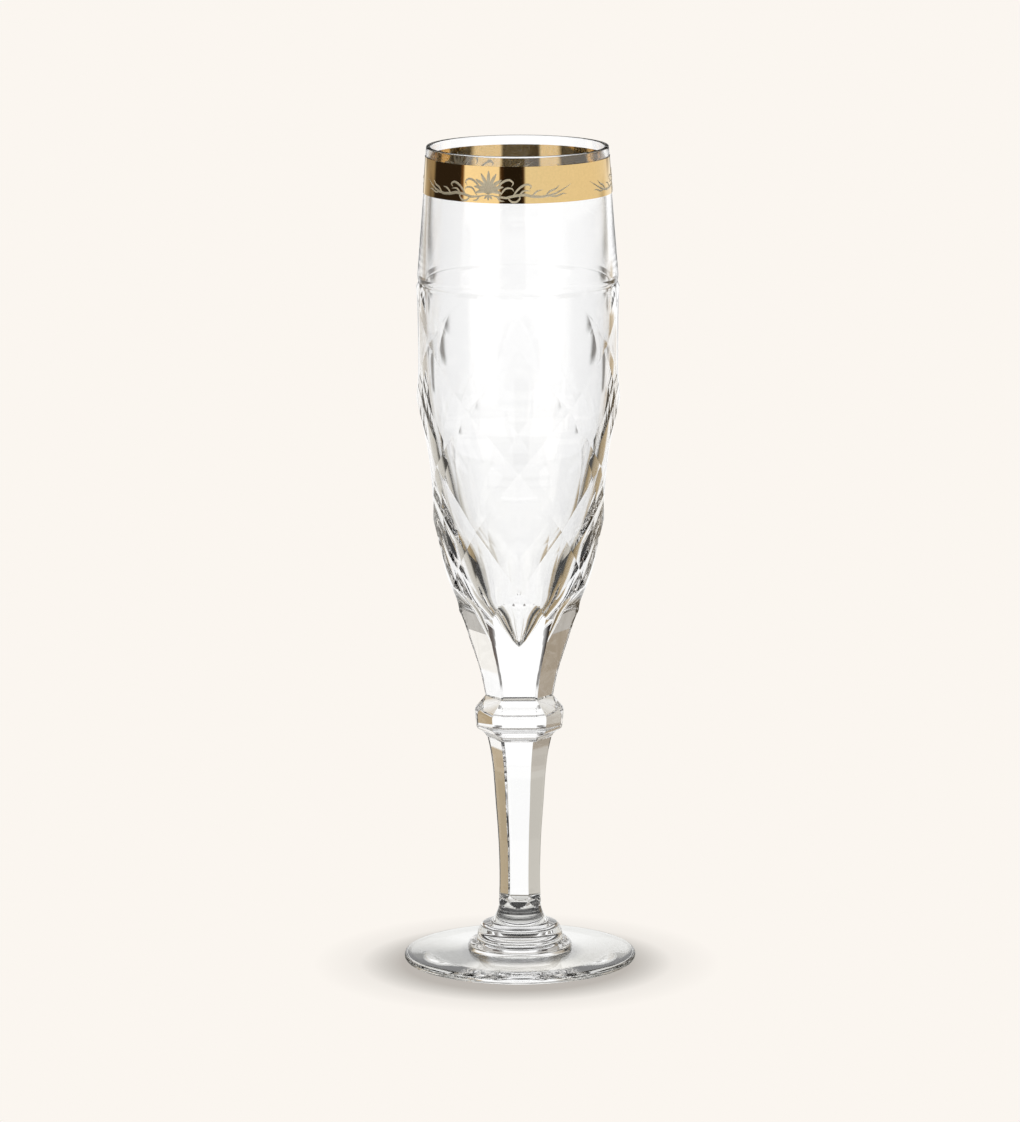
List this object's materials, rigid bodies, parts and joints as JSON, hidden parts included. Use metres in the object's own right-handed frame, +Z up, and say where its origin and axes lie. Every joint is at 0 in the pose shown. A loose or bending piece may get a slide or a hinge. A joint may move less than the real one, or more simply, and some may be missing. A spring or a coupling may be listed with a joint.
{
  "type": "champagne flute",
  "caption": "Stemmed crystal flute with a hollow-cut bowl, faceted knop and stem, ringed collar, round foot and gilded rim band.",
  "frame": {"origin": "centre of the foot, on the plane that the flute stands on", "axes": "+Z up along the axis of the flute towards the rim; -Y is square to one of the six flats at the base of the bowl"},
  "size_m": [0.0636, 0.0636, 0.225],
  "materials": {
    "crystal": "clear lead crystal, cut and polished",
    "gilding": "burnished gold over an etched frieze"
  },
  "bodies": {
    "root": {"foot": "crystal", "foot_collar": "crystal", "stem": "crystal", "knop": "crystal", "bowl": "crystal", "gold_band": "gilding"}
  },
  "joints": []
}
